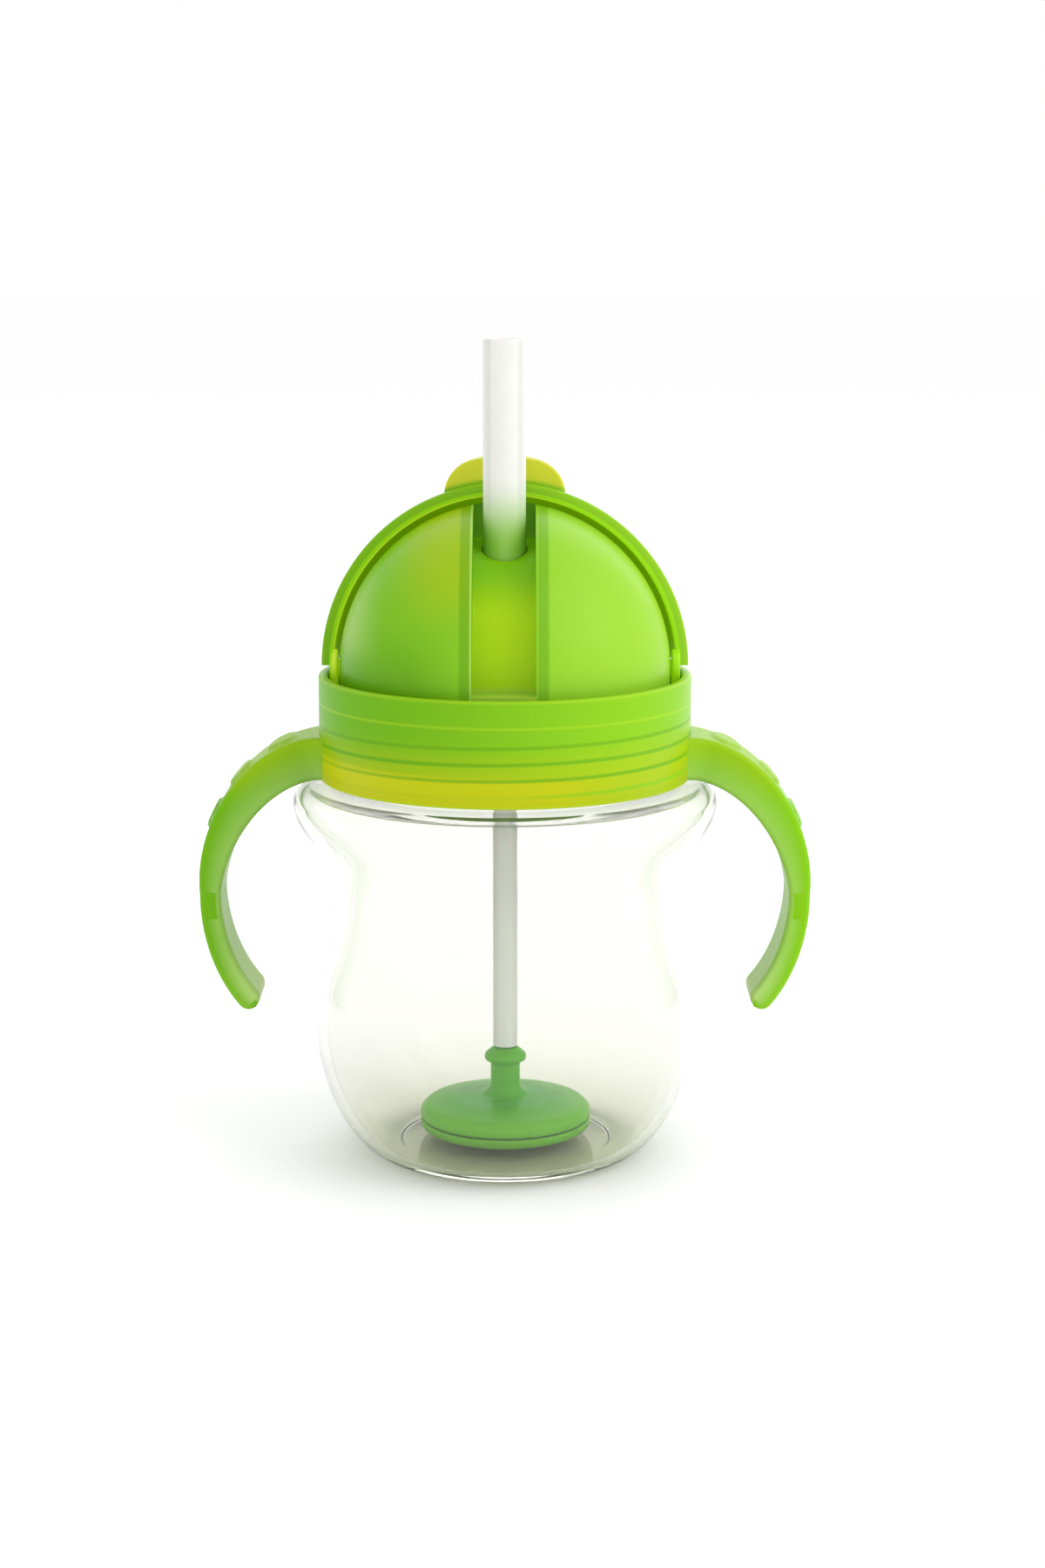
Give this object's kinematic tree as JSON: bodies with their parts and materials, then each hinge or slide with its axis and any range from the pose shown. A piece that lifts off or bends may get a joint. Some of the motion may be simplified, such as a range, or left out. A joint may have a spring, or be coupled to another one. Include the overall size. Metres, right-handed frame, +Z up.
{
  "type": "sippy cup",
  "caption": "Clear waisted training cup with a screw-on green lid, side handles, a flip cover, a folding straw and a weighted lower straw.",
  "frame": {"origin": "centre of the cup's foot, on the surface that it stands on", "axes": "+Z up, X along the two handles, -Y towards the straw channel at the front"},
  "size_m": [0.1184, 0.0824, 0.1591],
  "materials": {
    "clear_cup": "clear, slightly milky moulded polypropylene",
    "green_lid": "translucent lime green, smooth moulded",
    "green_cover": "translucent lime green, smooth moulded",
    "straw_silicone": "translucent white silicone, satin",
    "seal_silicone": "white silicone, satin",
    "clear_fitting": "clear moulded plastic",
    "green_weight": "opaque green, moulded",
    "steel": "turned stainless steel"
  },
  "bodies": {
    "cup": {"cup_body": "clear_cup"},
    "seal": {"lid_seal": "seal_silicone"},
    "lid": {"lid_collar": "green_lid", "lid_dome": "green_lid", "straw_holder": "clear_fitting", "straw_stem": "straw_silicone"},
    "cover": {"flip_cover": "green_cover"},
    "straw_root": {"straw_1": "straw_silicone"},
    "straw_lower": {"straw_2": "straw_silicone"},
    "straw_upper": {"straw_3": "straw_silicone"},
    "straw_mouth": {"straw_4": "straw_silicone"},
    "connector": {"tube_connector": "clear_fitting"},
    "weighted_straw": {"lower_tube": "straw_silicone", "weight_top": "green_weight", "weight_base": "green_weight", "steel_weight": "steel"}
  },
  "joints": [
    {"name": "lid_lift", "type": "slide", "parent": "cup", "child": "seal", "axis": [0, 0, 1], "range_m": [0, 0.00915]},
    {"name": "lid_turn", "type": "hinge", "parent": "seal", "child": "lid", "pos_m": [0, 0, 0.09], "axis": [0, 0, 1], "range_deg": [0, 1080]},
    {"name": "cover_flip", "type": "hinge", "parent": "lid", "child": "cover", "pos_m": [0, 0, 0.0959], "axis": [1, 0, 0], "range_deg": [0, 89]},
    {"name": "straw_fold_1", "type": "hinge", "parent": "lid", "child": "straw_root", "pos_m": [0, -0.0078, 0.12435], "axis": [1, 0, 0], "range_deg": [0, 113.8], "stiffness_Nm_per_rad": 0.000069, "deforming": ["straw_1"]},
    {"name": "straw_fold_2", "type": "hinge", "parent": "straw_root", "child": "straw_lower", "pos_m": [0, -0.0078, 0.13303], "axis": [1, 0, 0], "range_deg": [0, 16.92], "stiffness_Nm_per_rad": 0.00022, "deforming": ["straw_2"]},
    {"name": "straw_fold_3", "type": "hinge", "parent": "straw_lower", "child": "straw_upper", "pos_m": [0, -0.0078, 0.1417], "axis": [1, 0, 0], "range_deg": [0, 16.92], "stiffness_Nm_per_rad": 0.000071, "deforming": ["straw_3"]},
    {"name": "straw_fold_4", "type": "hinge", "parent": "straw_upper", "child": "straw_mouth", "pos_m": [0, -0.0078, 0.15038], "axis": [1, 0, 0], "range_deg": [0, 16.92], "stiffness_Nm_per_rad": 0.0000105, "deforming": ["straw_4"]},
    {"name": "straw_swing_side", "type": "hinge", "parent": "lid", "child": "connector", "pos_m": [0, 0, 0.09217], "axis": [0, 1, 0], "range_deg": [-5.5, 5.5]},
    {"name": "straw_swing_fore", "type": "hinge", "parent": "connector", "child": "weighted_straw", "pos_m": [0, 0, 0.08347], "axis": [1, 0, 0], "range_deg": [-5.5, 5.5]}
  ],
  "couplings": [
    {"joint": "lid_turn", "follows": "lid_lift", "rad_per_m": 2060.1},
    {"joint": "straw_fold_1", "follows": "cover_flip", "ratio": 1.2787},
    {"joint": "straw_fold_2", "follows": "cover_flip", "ratio": 0.19011},
    {"joint": "straw_fold_3", "follows": "cover_flip", "ratio": 0.19011},
    {"joint": "straw_fold_4", "follows": "cover_flip", "ratio": 0.19011}
  ]
}
